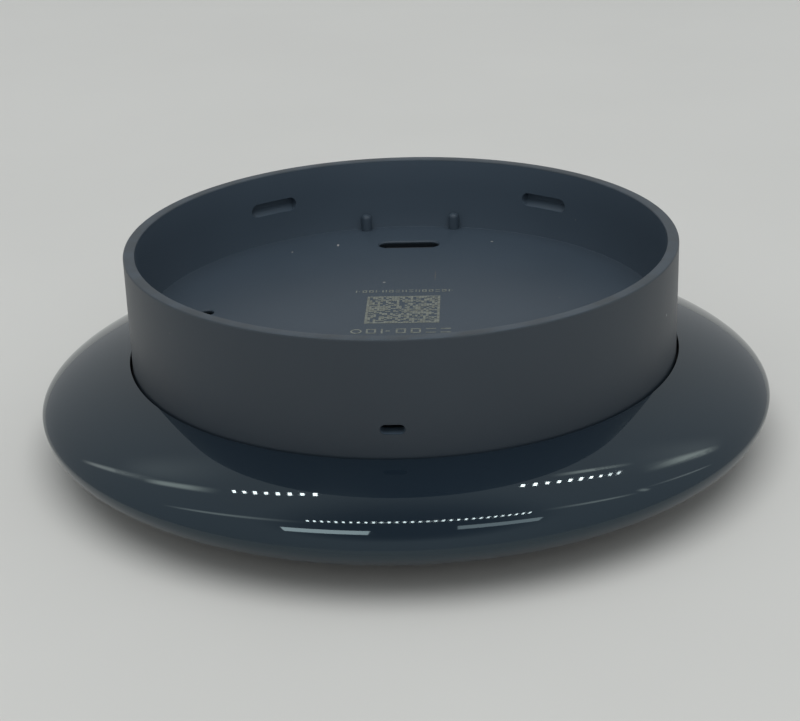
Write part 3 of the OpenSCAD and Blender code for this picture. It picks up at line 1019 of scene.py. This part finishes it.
class PIECE_OT_inner_finishes(bpy.types.Operator):
    """Gives every carried-over piece its material"""

    bl_idname = "controller.inner_finishes"
    bl_label = "Inner Finishes"

    def execute(self, context):
        looks = {slot: moulded(name, *values) for slot, name, *values in INNER_LOOKS}
        for part in frame["record"]["subparts"]:
            look = looks.get(part["material_slot"])
            node = frame["nodes"][part["node"]]
            if look is not None:
                node.data.materials.clear()
                node.data.materials.append(look)
        return {"FINISHED"}


def copied(piece, name):
    """A copy of a piece, with its own mesh."""
    only(piece)
    bpy.ops.object.duplicate()
    return started(name)


class PIECE_OT_return_pads(bpy.types.Operator):
    """Builds the soft pads that push the face back"""

    bl_idname = "controller.return_pads"
    bl_label = "Return Pads"

    def execute(self, context):
        low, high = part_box("return_pads")
        flange_r, flange, lip = 4.0 * MM, 0.6 * MM, 0.12 * MM
        foot_r, waist_r, dish = 2.2 * MM, 3.0 * MM, 0.25 * MM
        reach = -low.y - flange_r
        waist_z = high.z - flange
        line = [(0.0, low.z + dish), (foot_r * 0.55, low.z + dish), (foot_r * 0.8, low.z), (foot_r, low.z)]
        line += [(waist_r, waist_z)]
        line += corner(flange_r - lip, waist_z + lip, lip, -90, 0, 3)
        line += corner(flange_r - lip, high.z - lip, lip, 0, 90, 3)
        line += [(0.0, high.z)]
        pad = turned("return_pad_1", line, steps=48, closed=False)
        pads = [pad, copied(pad, "return_pad_2"), copied(pad, "return_pad_3")]
        for piece, a in zip(pads, (30, 150, 270)):
            a = math.radians(a)
            placed(piece, (reach * math.cos(a), reach * math.sin(a), 0), (0, 0, 0))
        soft = smoothed(joined(pads, "return_pads_soft"), 35)
        rubber = frame["nodes"]["return_pads"].data.materials[0]
        finished(soft, rubber, "rear", "soft_rubber", "return_pads")
        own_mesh(soft)
        return {"FINISHED"}


class PIECE_OT_flat_cable(bpy.types.Operator):
    """Builds the folded flat cable between the two boards"""

    bl_idname = "controller.flat_cable"
    bl_label = "Flat Cable"

    def execute(self, context):
        low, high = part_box("flex_cable")
        film, steps = 0.18 * MM, 16
        height, belly = high.z - low.z, high.y - low.y - film
        strip = first_point("flat_cable", (low.x, low.y + film / 2, low.z))
        here = 0.0
        for i in range(1, steps + 1):
            out = belly * (1 - math.cos(2 * math.pi * i / steps)) / 2
            move = (0, out - here, height / steps)
            bpy.ops.mesh.extrude_vertices_move(TRANSFORM_OT_translate={"value": move})
            here = out
        bpy.ops.mesh.select_all(action="SELECT")
        drawn_out(high.x - low.x, 0, 0)
        bpy.ops.object.mode_set(mode="OBJECT")
        m = strip.modifiers.new("Film", "SOLIDIFY")
        m.thickness = film
        m.offset = 0.0
        only(strip)
        bpy.ops.object.modifier_apply(modifier=m.name)
        smoothed(strip, 35)
        amber = frame["nodes"]["flex_cable"].data.materials[0]
        finished(strip, amber, "rear", "flex_film", "flex_cable")
        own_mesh(strip)
        return {"FINISHED"}


def glow(name, colour, strength, soft=0.0):
    """A lamp's light over whatever lies behind it, fading towards its edges by the soft share."""
    m = bpy.data.materials.new(name)
    m.use_nodes = True
    tree = m.node_tree
    tree.nodes.remove(tree.nodes["Principled BSDF"])
    light = tree.nodes.new("ShaderNodeEmission")
    light.inputs["Color"].default_value = (*colour, 1.0)
    light.inputs["Strength"].default_value = strength
    if soft:
        coord = tree.nodes.new("ShaderNodeTexCoord")
        across = along_axes(tree, coord.outputs["UV"])
        fade = strength
        for axis in ("X", "Y"):
            off = math_node(tree, "ABSOLUTE", math_node(tree, "SUBTRACT", across[axis], 0.5))
            fade = math_node(tree, "MULTIPLY", ranged(tree, off, 0.5 - soft / 2, 0.5, 1.0, 0.0), fade)
        tree.links.new(fade, light.inputs["Strength"])
    clear = tree.nodes.new("ShaderNodeBsdfTransparent")
    both = tree.nodes.new("ShaderNodeAddShader")
    tree.links.new(light.outputs["Emission"], both.inputs[0])
    tree.links.new(clear.outputs["BSDF"], both.inputs[1])
    tree.links.new(both.outputs["Shader"], tree.nodes["Material Output"].inputs["Surface"])
    return m


def lamp_face(name, s, start, end, width, look):
    """A flat lamp on the ceiling between two slopes (x / z, y / z), seen only in reflections."""
    ceiling = s.ceiling
    shift = Vector((0, s.lamp_shift))
    a, b = Vector(start) * ceiling + shift, Vector(end) * ceiling + shift
    nothing_selected()
    bpy.ops.mesh.primitive_plane_add(size=1.0, location=(0, 0, 0))
    face = started(name)
    face.scale = ((b - a).length, width * ceiling, 1)
    face.rotation_euler = (0, 0, math.atan2(b.y - a.y, b.x - a.x))
    face.location = ((a.x + b.x) / 2, (a.y + b.y) / 2, ceiling)
    applied(face)
    face.data.materials.append(look)
    for ray in ("camera", "diffuse", "shadow", "transmission"):
        setattr(face, f"visible_{ray}", False)


def lamp_row(name, s, first, last, step, bow, tube, look, draw):
    """A row of tube lamps across the ceiling: bow is its curve, tube a lamp's width and length."""
    count = int(round((last - first) / step)) + 1
    for i in range(count):
        x = first + i * step
        y = bow[0] + bow[1] * x + bow[2] * x * x
        half = tube[1] / 2 * (0.8 + 0.4 * draw.random())
        lamp_face(f"{name}_{i + 1}", s, (x, y - half), (x, y + half), tube[0], look)


def room_light(world, s):
    """An even pale room that darkens towards the zenith."""
    world.use_nodes = True
    tree = world.node_tree
    back = tree.nodes["Background"]
    coord = tree.nodes.new("ShaderNodeTexCoord")
    height = along_axes(tree, coord.outputs["Generated"])["Z"]
    # the darkening starts this far up, as the sine of the height above the horizon
    start, end = 0.90, 0.995
    tree.links.new(ranged(tree, height, start, end, s.room, s.zenith), back.inputs["Strength"])
    back.inputs["Color"].default_value = (0.96, 0.99, 1.005, 1)


class STAGE_OT_studio(bpy.types.Operator):
    """Sets the plain table, the camera, the room and the lamps"""

    bl_idname = "controller.studio"
    bl_label = "Studio"

    def execute(self, context):
        s = context.scene.studio_settings
        nothing_selected()
        bpy.ops.mesh.primitive_plane_add(size=4.0, location=(0, 0, -0.01 * MM))
        table = applied(started("table"))
        table.data.materials.append(table_material(s))
        self.camera(context, s)
        self.lights(context, s)
        self.mirrored_lamps(s)
        context.scene.view_settings.view_transform = "Standard"
        return {"FINISHED"}

    def camera(self, context, s):
        """A camera at its place, turned to its aim and rolled."""
        cam = bpy.data.cameras.new("camera")
        cam.lens = s.lens
        cam.sensor_width = 36.0
        cam.clip_start = 0.01
        view = bpy.data.objects.new("camera", cam)
        context.scene.collection.objects.link(view)
        f = Vector(s.aim).normalized()
        right = f.cross(Vector((0, 0, 1))).normalized()
        up = right.cross(f)
        cr = right * math.cos(s.roll) + up * math.sin(s.roll)
        cu = -right * math.sin(s.roll) + up * math.cos(s.roll)
        turn = Matrix((cr, cu, -f)).transposed().to_4x4()
        view.matrix_world = Matrix.Translation(Vector(s.eye)) @ turn
        context.scene.camera = view

    def lights(self, context, s):
        """The room, and two soft lights that the gloss doesn't mirror."""
        world = bpy.data.worlds.new("Room")
        context.scene.world = world
        room_light(world, s)
        for name, place, size, share in (
            ("overhead", (0.0, -0.40, 1.6), 1.9, 3.2),
            ("front", (0.15, -1.5, 0.75), 1.4, 0.7),
        ):
            light = bpy.data.lights.new(name, "AREA")
            light.shape = "DISK"
            light.size = size
            light.energy = s.soft_power * share
            lamp = bpy.data.objects.new(name, light)
            context.scene.collection.objects.link(lamp)
            lamp.location = place
            lamp.rotation_euler = (-Vector(place)).to_track_quat("-Z", "Y").to_euler()
            lamp.visible_glossy = False

    def mirrored_lamps(self, s):
        """What only the gloss shows: two rows of tubes, two louvres, panels and rails."""
        draw = random.Random(7)
        far = glow("Far Tube Glow", (1.0, 0.99, 0.96), 26.0)
        near = glow("Near Tube Glow", (1.0, 0.985, 0.96), 20.0)
        bow, tube = (0.425, 0.085, 0.43), (0.0098, 0.026)
        lamp_row("far_tube_left", s, -0.433, -0.235, 0.0302, bow, tube, far, draw)
        lamp_row("far_tube_right", s, 0.230, 0.50, 0.0302, bow, tube, far, draw)
        lamp_row("near_tube", s, -0.268, 0.31, 0.0193, (0.115, 0.03, 0.35), (0.0066, 0.022), near, draw)
        louvre = glow("Louvre Glow", (0.95, 1.0, 1.0), 4.6)
        dim = glow("Dim Louvre Glow", (0.92, 0.98, 1.0), 2.2)
        panel = glow("Panel Glow", (0.98, 1.0, 0.90), 2.0, 0.8)
        rail = glow("Rail Glow", (1.0, 1.0, 0.92), 1.5, 0.9)
        spread = glow("Spread Glow", (0.98, 1.0, 0.95), 0.25, 1.0)
        for name, start, end, width, look in (
            ("louvre_left", (-0.39, -0.05), (-0.115, -0.085), 0.095, louvre),
            ("louvre_right", (0.135, -0.02), (0.395, 0.02), 0.075, dim),
            ("panel_left", (-0.84, 0.64), (-0.47, 0.462), 0.08, panel),
            ("panel_far_left", (-1.65, 1.20), (-0.62, 0.53), 0.10, rail),
            ("panel_right", (0.57, 0.59), (1.25, 1.06), 0.14, panel),
            ("rail_right", (0.28, 0.54), (0.55, 0.68), 0.035, panel),
            ("rail_near_left", (-0.95, 0.235), (-0.24, 0.10), 0.06, rail),
            ("rail_near_right", (0.33, 0.175), (0.78, 0.29), 0.05, rail),
            ("rail_far_right", (0.70, 0.34), (1.60, 0.80), 0.05, rail),
            ("glint_right", (0.69, 0.35), (0.85, 0.30), 0.06, rail),
            ("spread_left", (-1.0, 0.85), (-0.35, 0.60), 0.36, spread),
            ("spread_right", (0.40, 0.62), (1.3, 1.15), 0.36, spread),
        ):
            lamp_face(name, s, start, end, width, look)


class PANEL_PT_controller(bpy.types.Panel):
    """Sidebar panel with one button per piece"""

    bl_idname = "PANEL_PT_controller"
    bl_label = "Wall Controller"
    bl_space_type = "VIEW_3D"
    bl_region_type = "UI"
    bl_category = "Controller"

    def draw(self, context):
        for name in ORDER:
            self.layout.operator(name)


OPERATORS = (
    PIECE_OT_control_ring,
    PIECE_OT_front_lens,
    PIECE_OT_rear_cup,
    PIECE_OT_floor_print,
    PIECE_OT_inner_finishes,
    PIECE_OT_return_pads,
    PIECE_OT_flat_cable,
    STAGE_OT_studio,
)
ORDER = [c.bl_idname for c in OPERATORS]
SETTINGS = (
    ("ring_settings", RingSettings),
    ("cup_settings", CupSettings),
    ("lens_settings", LensSettings),
    ("print_settings", PrintSettings),
    ("studio_settings", StudioSettings),
)


def register():
    for _, group in SETTINGS:
        bpy.utils.register_class(group)
    for cls in OPERATORS:
        bpy.utils.register_class(cls)
    bpy.utils.register_class(PANEL_PT_controller)
    for name, group in SETTINGS:
        setattr(bpy.types.Scene, name, bpy.props.PointerProperty(type=group))


def unregister():
    for name, _ in SETTINGS:
        delattr(bpy.types.Scene, name)
    bpy.utils.unregister_class(PANEL_PT_controller)
    for cls in reversed(OPERATORS):
        bpy.utils.unregister_class(cls)
    for _, group in reversed(SETTINGS):
        bpy.utils.unregister_class(group)


def main():
    register()
    for name in ORDER:
        group, call = name.split(".")
        getattr(getattr(bpy.ops, group), call)()


if __name__ == "__main__":
    main()
